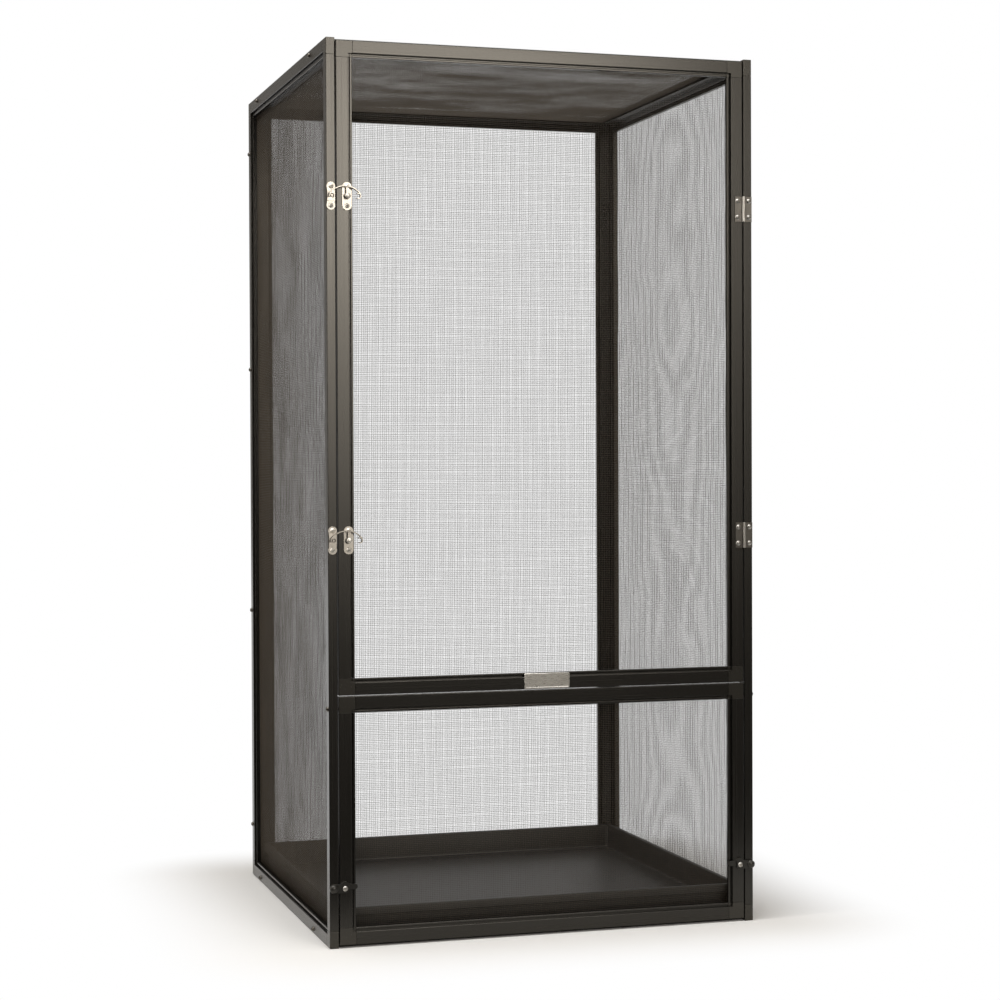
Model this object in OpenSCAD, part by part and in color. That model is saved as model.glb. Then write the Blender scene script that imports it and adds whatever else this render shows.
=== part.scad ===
// Tall mesh cage for climbing reptiles: screen panels screwed together as a box, a hinged upper door
// with two hook latches, a flap door below it with two turn clips, and a litter tray that slides out.
// Millimetres. Origin under the middle of the cage, +X to the right, +Y to the back, +Z up.

/* [Cage] */
// Width over the two side panels
cage_w = 600; // [420:10:900]
// Depth from the face of the doors to the back
cage_d = 600; // [360:10:900]
// Height from the floor to the top
cage_h = 1200; // [900:10:1600]

/* [Panel bars] */
// Thickness of every panel
bar_t = 12; // [11:0.5:16]
// Width of the hollow tube of a bar
face_w = 16.8; // [15:0.2:22]
// Wall of the tube and of the lip
bar_wall = 1.2; // [0.8:0.1:1.6]
// Rounding of the long edges of tube and lip
edge_r = 0.8; // [0.4:0.1:1.2]
// Width of the grooves beside the lip, on both faces
groove_w = 2.2; // [1.8:0.1:3]
// Width of the lip that carries the mesh
lip_w = 3.2; // [2.6:0.1:5]
// How far the lip lies below each face of the tube
lip_recess = 3; // [2:0.1:4]

/* [Corner pieces] */
// Length of each tongue inside a bar
tongue_l = 26; // [16:1:34]
// Clearance of a tongue in its bar, each side
tongue_gap = 0.15; // [0.1:0.05:0.3]
// Open seam between a corner piece and a bar
seam = 0.4; // [0.2:0.1:0.8]

/* [Mesh] */
// Thickness of the mesh
mesh_t = 0.3; // [0.2:0.05:0.6]
// Number of openings up a side panel, in the plain grid that stands for the weave
grid_rows = 12; // [10:1:12]
// Width of the strips of that grid
grid_strip = 6; // [4:0.5:10]
// Clearance of the spline in the inner groove, each side
spline_gap = 0.1; // [0.05:0.05:0.2]

/* [Doors] */
// Gap beside each door
door_gap = 1.5; // [1.2:0.1:3]
// Gap above the upper door
door_top_gap = 3; // [1.5:0.5:6]
// Gap below the lower door
door_bottom_gap = 4; // [1.5:0.5:6]
// Gap behind the doors
door_back_gap = 0.6; // [0.4:0.1:1]
// Height of the middle of the split between the doors
split_z = 333.5; // [260:0.5:420]
// Gap between the two doors
split_gap = 1.2; // [1.2:0.1:4]
// Distance of the flap's pivots below its top edge
pivot_drop = 16.5; // [13:0.5:18]

/* [Hinges and latches] */
// Distance of hinges and latches from the ends of the upper door
hardware_inset = 205; // [140:5:240]
// Height of a hinge
hinge_h = 35; // [30:1:46]
// Thickness of hinge leaves and latch plates
plate_t = 1.2; // [0.8:0.1:1.6]
// Outside diameter of a hinge knuckle
knuckle_d = 4.4; // [4:0.1:5.4]
// Diameter of a hinge pin
pin_d = 2; // [1.6:0.1:2.4]
// Distance of a hinge leaf's screws from the pin
leaf_screw_x = 8.1; // [7.2:0.1:8.6]
// Distance between the two screws of a hinge leaf
hinge_screw_pitch = 22.4; // [18:0.2:24]
// Length of a latch plate
latch_l = 37; // [34:0.5:44]
// Width of the latch plate on the door
latch_w = 13; // [11:0.5:15]
// Distance between the two screws of a latch plate
latch_screw_pitch = 25.6; // [23:0.2:28]
// Diameter of the stud that the latch arm turns on
stud_d = 4; // [3:0.1:4.6]
// Diameter of the peg that the latch arm hooks over
peg_d = 3; // [2:0.1:3.2]
// Height of the raised middle of the keeper on the post
keeper_block_h = 13.8; // [10:0.2:16]
// Radius of the arched strip of the latch arm
arch_r = 26; // [23:0.5:30]
// Width of the arched strip
strip_w = 5.6; // [4:0.1:8]
// Thickness of the arched strip
strip_t = 1.2; // [0.8:0.1:1.3]
// Outside diameter of the rolled ends of the strip
roll_d = 7.8; // [6.6:0.1:8.4]
// Distance of the finger roll from the stud
finger_reach = 13.7; // [11:0.1:17]

/* [Turn clips] */
// Height of the clips above the lower edge of the flap
clip_rise = 75.5; // [70:0.5:160]
// Distance of a clip's screw from the side edge of the flap
clip_inset = 6.7; // [6:0.1:9]
// Distance of the round end from the screw
clip_reach = 15.5; // [13:0.1:16]
// Length of the thin tail beyond the screw
clip_tail = 17; // [14:0.5:22]
// Width of the clip's body and of its round end
clip_w = 11; // [9:0.2:12]
// Height of the clip's peak above its screw
clip_peak = 9.2; // [7:0.1:11]
// Width of the tail
tail_w = 7; // [5:0.2:8]
// Thickness of the clip's body
clip_t = 4.2; // [3:0.2:5]
// Height of the round end above the faces
clip_knob_h = 8; // [6:0.2:9]

/* [Tray] */
// Height of the litter tray
tray_h = 38; // [30:1:60]
// Wall of the tray
tray_wall = 2.5; // [2:0.1:4]
// Width of the rim that runs round the tray
rim_w = 6; // [4:0.5:10]
// Height of the skirt that hangs from the rim
skirt_h = 11; // [5:0.5:16]
// Running gap round the tray
tray_gap = 2; // [1:0.5:4]

/* [Blank plate] */
// Length of the plain plate on the upper door
badge_l = 64; // [40:1:90]
// Height of the plain plate
badge_h = 21; // [12:0.5:22]
// Thickness of the plain plate
badge_t = 1.6; // [1:0.1:3]

/* [Screws] */
// Thread diameter of the screws through the side panels
frame_screw_d = 3; // [2.5:0.1:4]
// Head diameter of the screws through the side panels
frame_head_d = 7; // [5:0.1:8]
// Head height of the screws through the side panels
frame_head_h = 3; // [1.6:0.1:3.4]
// Distance of the end screws of the back panel from its ends
back_screw_inset = 79; // [72:1:140]
// Distance between the two middle screws of the back panel
back_screw_spread = 374; // [200:2:500]
// Distance of the front roof and floor screws from the front
roof_screw_front = 112; // [90:1:160]
// Distance of the rear roof and floor screws from the back
roof_screw_back = 73; // [72:1:140]
// Diameter of the flap's pivot screws
pivot_d = 4; // [3:0.1:5]
// Thread diameter of hinge and latch screws
small_screw_d = 2.6; // [2:0.1:2.8]
// Head diameter of hinge and latch screws
small_head_d = 7; // [5:0.1:7.4]
// Head height of hinge and latch screws
small_head_h = 2; // [1.2:0.1:2.4]
// Thread diameter of the clip screws
clip_screw_d = 3.4; // [2.6:0.1:4]
// Head diameter of the clip screws
clip_head_d = 7.2; // [5.4:0.1:7.6]

/* [Hidden] */
$fn = 48;
// Overrun of every cut
overrun = 1;
// Radial clearance of screws and pins in their holes
fit = 0.05;
// Clearance between pieces that pass each other
pass_gap = 0.3;
// Distance of a leaf or plate from the edge of the post
plate_inset = 0.2;
// Lift of the hinge pin above the tangent of its knuckle
knuckle_lift = 0.2;
// Depth that screws reach past the wall they hold
screw_grip = 7;
// Width and depth of the cross in screw heads, and its length as a share of the head
slot_w = 1;
slot_depth = 0.9;
cross_share = 0.5;
// Thickness of a latch hub and height of its rivet head
hub_t = 2;
rivet_h = 2.6;
// Wall of the hub round the stud
hub_wall = 2;
// Half angle of the mouth of a rolled end
mouth_angle = 60;
// Thickness of a clip's tail
tail_t = 2.2;
// Half the width of a clip's peak at its foot and at its top, as shares of the body's width
peak_foot_share = 0.64;
peak_top_share = 0.14;
// Width of the keeper plate's waist as a share of the plate
waist_share = 0.9;
// Rounding of the blank plate's corners
badge_r = 2;

inner_w = cage_w - 2 * bar_t;
bar_w = face_w + groove_w + lip_w;
lip_start = face_w + groove_w;
groove_floor = (bar_t - bar_wall) / 2;
lip_back = bar_t - lip_recess;
spline_d = groove_w - 2 * spline_gap;
grid_pitch = (cage_h - 2 * lip_start) / grid_rows;

knuckle_r = knuckle_d / 2;
pin_stand = knuckle_r + knuckle_lift;
arm_back = plate_t + small_head_h + pass_gap;
arm_front = arm_back + strip_w;

// The front plane is set so that the whole box, hardware included, is centred on the origin
hardware_proud = max(arm_front, clip_knob_h, pin_stand + knuckle_r);
front_y = (hardware_proud - cage_d) / 2;
back_y = front_y + cage_d;

door_w = inner_w - 2 * door_gap;
door_x = door_w / 2;
lower_door_z = door_bottom_gap;
lower_door_h = split_z - split_gap / 2 - lower_door_z;
upper_door_z = split_z + split_gap / 2;
upper_door_h = cage_h - door_top_gap - upper_door_z;
roof_y = front_y + bar_t + door_back_gap;
roof_d = back_y - bar_t - roof_y;

side_size = [cage_d, cage_h];
back_size = [inner_w, cage_h];
roof_size = [inner_w, roof_d];
upper_size = [door_w, upper_door_h];
lower_size = [door_w, lower_door_h];

hardware_zs = [upper_door_z + hardware_inset, upper_door_z + upper_door_h - hardware_inset];
pin_x = (inner_w - door_gap) / 2;
leaf_reach = cage_w / 2 - plate_inset - pin_x;
knuckle_h = (hinge_h - pass_gap) / 2;

keeper_x = -(cage_w - bar_t) / 2;
keeper_w = bar_t - 2 * plate_inset;
latch_x = -door_x + face_w - bar_wall - small_screw_d / 2 - pass_gap;
peg_reach = latch_x - keeper_x;
hub_d = stud_d + 2 * (fit + hub_wall);
arch_span = (peg_reach + finger_reach) / 2;
arch_x = (finger_reach - peg_reach) / 2;
arch_z = -sqrt(pow(arch_r - roll_d / 2, 2) - pow(arch_span, 2));

pivot_z = lower_door_z + lower_door_h - pivot_drop;
pivot_y = front_y + bar_t / 2;
clip_z = lower_door_z + clip_rise;
clip_x = door_x - clip_inset;

tray_w = inner_w - 2 * tray_gap;
tray_d = roof_d - 2 * tray_gap;
tray_z = bar_t + pass_gap;

back_screw_zs = [back_screw_inset, (cage_h - back_screw_spread) / 2,
                 (cage_h + back_screw_spread) / 2, cage_h - back_screw_inset];
roof_screw_ys = [front_y + roof_screw_front, back_y - roof_screw_back];
frame_screw_places = concat(
    [for (z = back_screw_zs) [back_y - bar_t / 2, z]],
    [for (y = roof_screw_ys, z = [bar_t / 2, cage_h - bar_t / 2]) [y, z]]);

frame_screw_l = bar_t + bar_wall + screw_grip;
pivot_screw_l = bar_t + door_gap + screw_grip;
small_screw_l = plate_t + bar_wall + screw_grip;
clip_screw_stand = clip_t + pass_gap;
clip_screw_l = clip_screw_stand + bar_wall + screw_grip;

bar_colour = "#403E3A";
corner_colour = "#4A4743";
mesh_colour = "#2A2A28";
spline_colour = "#1A1A1A";
screw_colour = "#2C2B29";
steel_colour = "#A8A5A0";
nickel_colour = "#D8D4CC";
clip_colour = "#1E1E1D";
tray_colour = "#191918";

// Shapes that every panel shares. A panel lies with x along its width, z along its height
// and y from its outside face inwards.

// Rectangle with round corners, from the origin
module rounded_square(size, r) {
    translate([r, 0]) square([size.x - 2 * r, size.y]);
    translate([0, r]) square([size.x, size.y - 2 * r]);
    for (x = [r, size.x - r], y = [r, size.y - r]) translate([x, y]) circle(r);
}

// Section of a bar, the same on both faces: hollow tube, web and lip, from the outer edge inwards
module bar_section() {
    difference() {
        rounded_square([face_w, bar_t], edge_r);
        translate([bar_wall, bar_wall]) square([face_w - 2 * bar_wall, bar_t - 2 * bar_wall]);
    }
    translate([face_w - bar_wall / 2, groove_floor]) square([bar_wall / 2 + groove_w + lip_w, bar_wall]);
    translate([lip_start, lip_recess]) rounded_square([lip_w, lip_back - lip_recess], edge_r);
}

// Swaps width and height, so that an upright piece lies down
module laid_down() mirror([1, 0, -1]) children();

// Draws its children at the start and, mirrored, at the end of a length along x
module both_ends_x(l) {
    children();
    translate([l, 0, 0]) mirror([1, 0, 0]) children();
}

// Draws its children at the bottom and, mirrored, at the top of a length along z
module both_ends_z(l) {
    children();
    translate([0, 0, l]) mirror([0, 0, 1]) children();
}

// Draws its children on the outside face and, mirrored, on the inside face of a panel
module both_faces() {
    children();
    translate([0, bar_t, 0]) mirror([0, 1, 0]) children();
}

module bar(l) {
    translate([0, 0, bar_w + seam]) linear_extrude(l - 2 * (bar_w + seam)) bar_section();
}

module panel_stiles(size) both_ends_x(size.x) bar(size.y);

module panel_rails(size) both_ends_z(size.y) laid_down() bar(size.x);

// Tongue of a corner piece, inside the tube of an upright bar
module tongue() {
    inset = bar_wall + tongue_gap;
    translate([inset, inset, bar_w - overrun])
        cube([face_w - 2 * inset, bar_t - 2 * inset, tongue_l + overrun]);
}

// One arm of the groove round the inner corner of a corner piece
module corner_groove() {
    translate([face_w, -overrun, face_w]) cube([groove_w, overrun + groove_floor, bar_w]);
}

module corner_piece() {
    difference() {
        intersection() {
            linear_extrude(bar_w) rounded_square([2 * bar_w, bar_t], edge_r);
            laid_down() linear_extrude(bar_w) rounded_square([2 * bar_w, bar_t], edge_r);
        }
        both_faces() {
            translate([face_w, -overrun, face_w]) cube([bar_w, overrun + lip_recess, bar_w]);
            corner_groove();
            laid_down() corner_groove();
        }
    }
    tongue();
    laid_down() tongue();
}

module panel_corners(size) both_ends_z(size.y) both_ends_x(size.x) corner_piece();

// The mesh lies on the inside of the lips, up to the groove
module panel_mesh(size) {
    sheet = size - 2 * [lip_start, lip_start];
    counts = [round(sheet.x / grid_pitch), round(sheet.y / grid_pitch)];
    step = [(sheet.x - grid_strip) / counts.x, (sheet.y - grid_strip) / counts.y];
    translate([lip_start, lip_back + mesh_t, lip_start]) rotate([90, 0, 0]) linear_extrude(mesh_t)
        difference() {
            square(sheet);
            for (i = [0 : counts.x - 1], j = [0 : counts.y - 1])
                translate([grid_strip + i * step.x, grid_strip + j * step.y])
                    square(step - [grid_strip, grid_strip]);
        }
}

// One length of spline along an upright inner groove
module spline_length(l, inset) {
    translate([face_w + groove_w / 2, groove_floor + bar_wall + spline_gap + spline_d / 2, inset])
        cylinder(d = spline_d, h = l - 2 * inset);
}

module panel_spline(size) {
    both_ends_x(size.x) spline_length(size.y, face_w + spline_gap);
    both_ends_z(size.y) laid_down() spline_length(size.x, lip_start + spline_gap);
}

// Places of the panels

module at_left_panel() translate([-cage_w / 2, back_y, 0]) rotate([0, 0, -90]) children();
module at_right_panel() translate([cage_w / 2, front_y, 0]) rotate([0, 0, 90]) children();
module at_back_panel() translate([inner_w / 2, back_y, 0]) rotate([0, 0, 180]) children();
module at_top_panel() translate([-inner_w / 2, roof_y, cage_h]) rotate([-90, 0, 0]) children();
module at_bottom_panel() translate([-inner_w / 2, roof_y + roof_d, 0]) rotate([90, 0, 0]) children();
module at_upper_door() translate([-door_x, front_y, upper_door_z]) children();
module at_lower_door() translate([-door_x, front_y, lower_door_z]) children();

// Screws. A screw stands on the face it clamps, its shank along +z.

// Domed head below z = 0
module dome(d, h) {
    cap_r = (pow(d / 2, 2) + pow(h, 2)) / (2 * h);
    intersection() {
        translate([0, 0, cap_r - h]) sphere(cap_r);
        translate([-d / 2, -d / 2, -h - overrun]) cube([d, d, h + overrun]);
    }
}

module screw(d, l, head_d, head_h) {
    cross_l = head_d * cross_share;
    difference() {
        dome(head_d, head_h);
        for (turn = [0, 90]) rotate(turn) translate([-cross_l / 2, -slot_w / 2, -head_h - overrun])
            cube([cross_l, slot_w, overrun + slot_depth]);
    }
    translate([0, 0, -head_h / 4]) cylinder(d = d, h = l + head_h / 4);
}

// Hole that a shank passes with the radial fit
module screw_hole(d, l) translate([0, 0, -overrun]) cylinder(d = d + 2 * fit, h = l + 2 * overrun);

// Screws along y, into the front faces
module into_front() rotate([-90, 0, 0]) children();

// Screws through a side panel into the back, top and bottom panels; side is -1 for left and 1 for right
module at_frame_screws(side) {
    for (p = frame_screw_places)
        translate([side * cage_w / 2, p.x, p.y]) rotate([0, -side * 90, 0]) children();
}

// Pivots of the flap, through both side panels
module at_pivots() {
    for (side = [-1, 1])
        translate([side * cage_w / 2, pivot_y, pivot_z]) rotate([0, -side * 90, 0]) children();
}

module frame_holes() for (side = [-1, 1]) at_frame_screws(side) screw_hole(frame_screw_d, frame_screw_l);

module pivot_holes() at_pivots() screw_hole(pivot_d, pivot_screw_l);

// Places of the hinges, with the pin along z through the origin
module at_hinges() for (z = hardware_zs) translate([pin_x, front_y - pin_stand, z]) children();

// Places of the screws of a hinge leaf; side is 1 for the post and -1 for the door
module at_leaf_screws(side) {
    at_hinges() for (z = [-1, 1] * hinge_screw_pitch / 2)
        translate([side * leaf_screw_x, pin_stand - plate_t, z]) into_front() children();
}

// Places of the latches on the face of the post or of the door
module at_keepers() for (z = hardware_zs) translate([keeper_x, front_y, z]) children();
module at_latch(z) translate([latch_x, front_y, z]) children();
module at_latches() for (z = hardware_zs) at_latch(z) children();

// The two screws of a latch plate
module latch_screw_pair() {
    for (z = [-1, 1] * latch_screw_pitch / 2) translate([0, -plate_t, z]) into_front() children();
}

module small_hole() screw_hole(small_screw_d, small_screw_l);

module small_screw() screw(small_screw_d, small_screw_l, small_head_d, small_head_h);

// Places of the turn clips on the face of the flap
module at_clip(side) translate([side * clip_x, front_y, clip_z]) children();

module clip_hole() translate([0, -clip_screw_stand, 0]) into_front() screw_hole(clip_screw_d, clip_screw_l);

// Left side panel

module left_panel_stiles() color(bar_colour) difference() {
    at_left_panel() panel_stiles(side_size);
    frame_holes();
    pivot_holes();
    at_keepers() latch_screw_pair() small_hole();
}

module left_panel_rails() color(bar_colour) difference() {
    at_left_panel() panel_rails(side_size);
    frame_holes();
}

module left_panel_corners() color(corner_colour) at_left_panel() panel_corners(side_size);
module left_panel_mesh() color(mesh_colour) at_left_panel() panel_mesh(side_size);
module left_panel_spline() color(spline_colour) at_left_panel() panel_spline(side_size);

// Right side panel

module right_panel_stiles() color(bar_colour) difference() {
    at_right_panel() panel_stiles(side_size);
    frame_holes();
    pivot_holes();
    at_leaf_screws(1) small_hole();
}

module right_panel_rails() color(bar_colour) difference() {
    at_right_panel() panel_rails(side_size);
    frame_holes();
}

module right_panel_corners() color(corner_colour) at_right_panel() panel_corners(side_size);
module right_panel_mesh() color(mesh_colour) at_right_panel() panel_mesh(side_size);
module right_panel_spline() color(spline_colour) at_right_panel() panel_spline(side_size);

// Back, top and bottom panels, between the side panels

module back_panel_stiles() color(bar_colour) difference() {
    at_back_panel() panel_stiles(back_size);
    frame_holes();
}

module back_panel_rails() color(bar_colour) at_back_panel() panel_rails(back_size);
module back_panel_corners() color(corner_colour) at_back_panel() panel_corners(back_size);
module back_panel_mesh() color(mesh_colour) at_back_panel() panel_mesh(back_size);
module back_panel_spline() color(spline_colour) at_back_panel() panel_spline(back_size);

module top_panel_stiles() color(bar_colour) difference() {
    at_top_panel() panel_stiles(roof_size);
    frame_holes();
}

module top_panel_rails() color(bar_colour) at_top_panel() panel_rails(roof_size);
module top_panel_corners() color(corner_colour) at_top_panel() panel_corners(roof_size);
module top_panel_mesh() color(mesh_colour) at_top_panel() panel_mesh(roof_size);
module top_panel_spline() color(spline_colour) at_top_panel() panel_spline(roof_size);

module bottom_panel_stiles() color(bar_colour) difference() {
    at_bottom_panel() panel_stiles(roof_size);
    frame_holes();
}

module bottom_panel_rails() color(bar_colour) at_bottom_panel() panel_rails(roof_size);
module bottom_panel_corners() color(corner_colour) at_bottom_panel() panel_corners(roof_size);
module bottom_panel_mesh() color(mesh_colour) at_bottom_panel() panel_mesh(roof_size);
module bottom_panel_spline() color(spline_colour) at_bottom_panel() panel_spline(roof_size);

// Upper door, hinged on the right

module upper_door_stiles() color(bar_colour) difference() {
    at_upper_door() panel_stiles(upper_size);
    at_leaf_screws(-1) small_hole();
    at_latches() latch_screw_pair() small_hole();
}

module upper_door_rails() color(bar_colour) at_upper_door() panel_rails(upper_size);
module upper_door_corners() color(corner_colour) at_upper_door() panel_corners(upper_size);
module upper_door_mesh() color(mesh_colour) at_upper_door() panel_mesh(upper_size);
module upper_door_spline() color(spline_colour) at_upper_door() panel_spline(upper_size);

// Lower door, a flap that turns on two screws near its top edge

module lower_door_stiles() color(bar_colour) difference() {
    at_lower_door() panel_stiles(lower_size);
    for (side = [-1, 1]) at_clip(side) clip_hole();
}

module lower_door_rails() color(bar_colour) at_lower_door() panel_rails(lower_size);

module lower_door_corners() color(corner_colour) difference() {
    at_lower_door() panel_corners(lower_size);
    pivot_holes();
}

module lower_door_mesh() color(mesh_colour) at_lower_door() panel_mesh(lower_size);
module lower_door_spline() color(spline_colour) at_lower_door() panel_spline(lower_size);

// Screws that hold the box together, and the flap's pivots

module frame_screw() screw(frame_screw_d, frame_screw_l, frame_head_d, frame_head_h);
module left_frame_screws() color(screw_colour) at_frame_screws(-1) frame_screw();
module right_frame_screws() color(screw_colour) at_frame_screws(1) frame_screw();

module door_pivot_screws() color(screw_colour) at_pivots()
    screw(pivot_d, pivot_screw_l, frame_head_d, frame_head_h);

// Butt hinges. A leaf reaches to +x, its knuckle starting at the height knuckle_z.

module hinge_leaf(knuckle_z) {
    flat_start = knuckle_r + pass_gap;
    difference() {
        union() {
            translate([flat_start, pin_stand - plate_t, -hinge_h / 2])
                cube([leaf_reach - flat_start, plate_t, hinge_h]);
            translate([0, pin_stand - plate_t, knuckle_z]) cube([leaf_reach / 2, plate_t, knuckle_h]);
            translate([0, 0, knuckle_z]) cylinder(r = knuckle_r, h = knuckle_h);
        }
        translate([0, 0, -hinge_h]) cylinder(d = pin_d + 2 * fit, h = 2 * hinge_h);
        for (z = [-1, 1] * hinge_screw_pitch / 2)
            translate([leaf_screw_x, pin_stand - plate_t, z]) into_front() small_hole();
    }
}

module hinge_post_leaves() color(steel_colour) at_hinges() hinge_leaf(-hinge_h / 2);
module hinge_door_leaves() color(steel_colour) at_hinges() mirror([1, 0, 0]) hinge_leaf(pass_gap / 2);

module hinge_pins() color(steel_colour) at_hinges()
    translate([0, 0, -hinge_h / 2]) cylinder(d = pin_d, h = hinge_h);

module hinge_post_screws() color(steel_colour) at_leaf_screws(1) small_screw();
module hinge_door_screws() color(steel_colour) at_leaf_screws(-1) small_screw();

// Hook latches. The arm turns on the door's stud and hooks over the post's peg.

// Raises an outline in x and z off the face, from one height to another
module raised(from, to) translate([0, -from, 0]) rotate([90, 0, 0]) linear_extrude(to - from) children();

// Plate with two round ends and a middle of its own width
module latch_plate(w, middle_w) {
    end_z = (latch_l - w) / 2;
    difference() {
        raised(0, plate_t) {
            for (z = [-end_z, end_z]) translate([0, z]) circle(d = w);
            translate([-middle_w / 2, -end_z]) square([middle_w, 2 * end_z]);
        }
        latch_screw_pair() small_hole();
    }
}

module latch_keepers() color(nickel_colour) at_keepers() {
    waist = keeper_w * waist_share;
    latch_plate(keeper_w, waist);
    raised(plate_t / 2, arm_back - pass_gap)
        translate([-waist / 2, -keeper_block_h / 2]) square([waist, keeper_block_h]);
    raised(plate_t / 2, arm_front - pass_gap) circle(d = peg_d);
}

module latch_keeper_screws() color(nickel_colour) at_keepers() latch_screw_pair() small_screw();

module latch_bases() color(nickel_colour) at_latches() {
    rivet_base = arm_back + hub_t + pass_gap;
    latch_plate(latch_w, latch_w);
    raised(plate_t / 2, arm_back - pass_gap) circle(d = hub_d);
    raised(plate_t / 2, rivet_base + rivet_h / 2) circle(d = stud_d);
    translate([0, -rivet_base, 0]) into_front() dome(hub_d, rivet_h);
}

module latch_base_screws() color(nickel_colour) at_latches() latch_screw_pair() small_screw();

// Rolled end of the strip, its mouth turned to an angle
module roll(mouth) {
    reach = 2 * roll_d;
    difference() {
        circle(d = roll_d);
        circle(d = roll_d - 2 * strip_t);
        polygon(concat([[0, 0]], [for (a = [mouth - mouth_angle, mouth + mouth_angle])
            reach * [cos(a), sin(a)]]));
    }
}

// Arched strip between its two rolled ends
module arch() {
    reach = 2 * arch_r;
    centre = [arch_x, arch_z];
    intersection() {
        translate(centre) difference() {
            circle(arch_r + strip_t / 2);
            circle(arch_r - strip_t / 2);
        }
        polygon([centre, centre + reach * [-arch_span, -arch_z] / (arch_r - roll_d / 2),
                 centre + [0, reach], centre + reach * [arch_span, -arch_z] / (arch_r - roll_d / 2)]);
    }
    translate([-peg_reach, 0]) roll(270);
    translate([finger_reach, 0]) roll(180);
}

module latch_arm() {
    web_h = arch_z + sqrt(pow(arch_r, 2) - pow(arch_x, 2));
    raised(arm_back, arm_front) arch();
    raised(arm_back, arm_back + hub_t) difference() {
        union() {
            circle(d = hub_d);
            translate([-hub_d / 4, 0]) square([hub_d / 2, web_h]);
        }
        circle(d = stud_d + 2 * fit);
    }
}

module lower_latch_arm() color(nickel_colour) at_latch(hardware_zs[0]) latch_arm();
module upper_latch_arm() color(nickel_colour) at_latch(hardware_zs[1]) latch_arm();

// Turn clips. A clip lies over the gap, with its round end towards +x on the post. Its straight upper
// edge rises to a peak over the screw, and its thin tail runs along that edge.

// Body from the screw to the round end, with the peak
module clip_body() {
    half = clip_w / 2;
    foot = clip_w * peak_foot_share;
    top = clip_w * peak_top_share;
    circle(half);
    polygon([[0, -half], [clip_reach, -half], [clip_reach, half], [foot, half], [top, clip_peak],
             [-top, clip_peak], [-foot, half], [-half, half], [-half, 0]]);
}

module clip_tail_strip() {
    end_x = clip_tail - tail_w / 2;
    translate([-end_x, clip_w / 2 - tail_w]) square([end_x, tail_w]);
    translate([-end_x, (clip_w - tail_w) / 2]) circle(d = tail_w);
}

module turn_clip() {
    knob_base = clip_knob_h - clip_w / 4;
    difference() {
        union() {
            raised(pass_gap, clip_screw_stand) clip_body();
            raised(pass_gap, pass_gap + tail_t) clip_tail_strip();
            translate([clip_reach, 0, 0]) {
                raised(pass_gap, knob_base) circle(d = clip_w);
                translate([0, -knob_base, 0]) into_front() dome(clip_w, clip_knob_h - knob_base);
            }
        }
        clip_hole();
    }
}

module left_turn_clip() color(clip_colour) at_clip(-1) mirror([1, 0, 0]) turn_clip();
module right_turn_clip() color(clip_colour) at_clip(1) turn_clip();

module turn_clip_screws() color(steel_colour) for (side = [-1, 1]) at_clip(side)
    translate([0, -clip_screw_stand - fit, 0]) into_front()
        screw(clip_screw_d, clip_screw_l, clip_head_d, small_head_h);

// Litter tray: an open box with a rim and a skirt, resting over the bars of the bottom panel

// Block of the tray's outline drawn in by an inset, from one height to another
module tray_block(inset, from, to) {
    translate([inset, inset, from]) cube([tray_w - 2 * inset, tray_d - 2 * inset, to - from]);
}

module litter_tray() color(tray_colour) translate([-tray_w / 2, roof_y + tray_gap, tray_z]) difference() {
    union() {
        tray_block(rim_w, 0, tray_h);
        difference() {
            tray_block(0, tray_h - skirt_h, tray_h);
            tray_block(tray_wall, tray_h - skirt_h - overrun, tray_h - tray_wall);
        }
    }
    tray_block(rim_w + tray_wall, tray_wall, tray_h + overrun);
}

// Plain plate on the bottom rail of the upper door

module blank_plate() color(nickel_colour)
    translate([-badge_l / 2, front_y, upper_door_z + (bar_w - badge_h) / 2])
        raised(0, badge_t) rounded_square([badge_l, badge_h], badge_r);

left_panel_stiles();
left_panel_rails();
left_panel_corners();
left_panel_mesh();
left_panel_spline();
right_panel_stiles();
right_panel_rails();
right_panel_corners();
right_panel_mesh();
right_panel_spline();
back_panel_stiles();
back_panel_rails();
back_panel_corners();
back_panel_mesh();
back_panel_spline();
top_panel_stiles();
top_panel_rails();
top_panel_corners();
top_panel_mesh();
top_panel_spline();
bottom_panel_stiles();
bottom_panel_rails();
bottom_panel_corners();
bottom_panel_mesh();
bottom_panel_spline();
upper_door_stiles();
upper_door_rails();
upper_door_corners();
upper_door_mesh();
upper_door_spline();
lower_door_stiles();
lower_door_rails();
lower_door_corners();
lower_door_mesh();
lower_door_spline();
left_frame_screws();
right_frame_screws();
door_pivot_screws();
hinge_post_leaves();
hinge_door_leaves();
hinge_pins();
hinge_post_screws();
hinge_door_screws();
latch_keepers();
latch_keeper_screws();
latch_bases();
latch_base_screws();
upper_latch_arm();
lower_latch_arm();
left_turn_clip();
right_turn_clip();
turn_clip_screws();
litter_tray();
blank_plate();
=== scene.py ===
# %% [markdown]
# # A tall mesh cage, dressed for the studio
# The cage is seven screen panels: hollow aluminium bars, moulded corner pieces, wire cloth and the rubber
# spline that holds the cloth in its groove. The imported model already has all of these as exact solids, with
# the hinges, latches, clips and tray, but its mesh is a coarse grid and its edges are sharp. This lesson
# adds what the eye wants: fine wires, soft edges, a moulded tray, a bordered plate and a finish for every
# surface.

# %% Load the frame
import math

import bmesh
import bpy
from mathutils import Euler, Matrix, Vector


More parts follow.
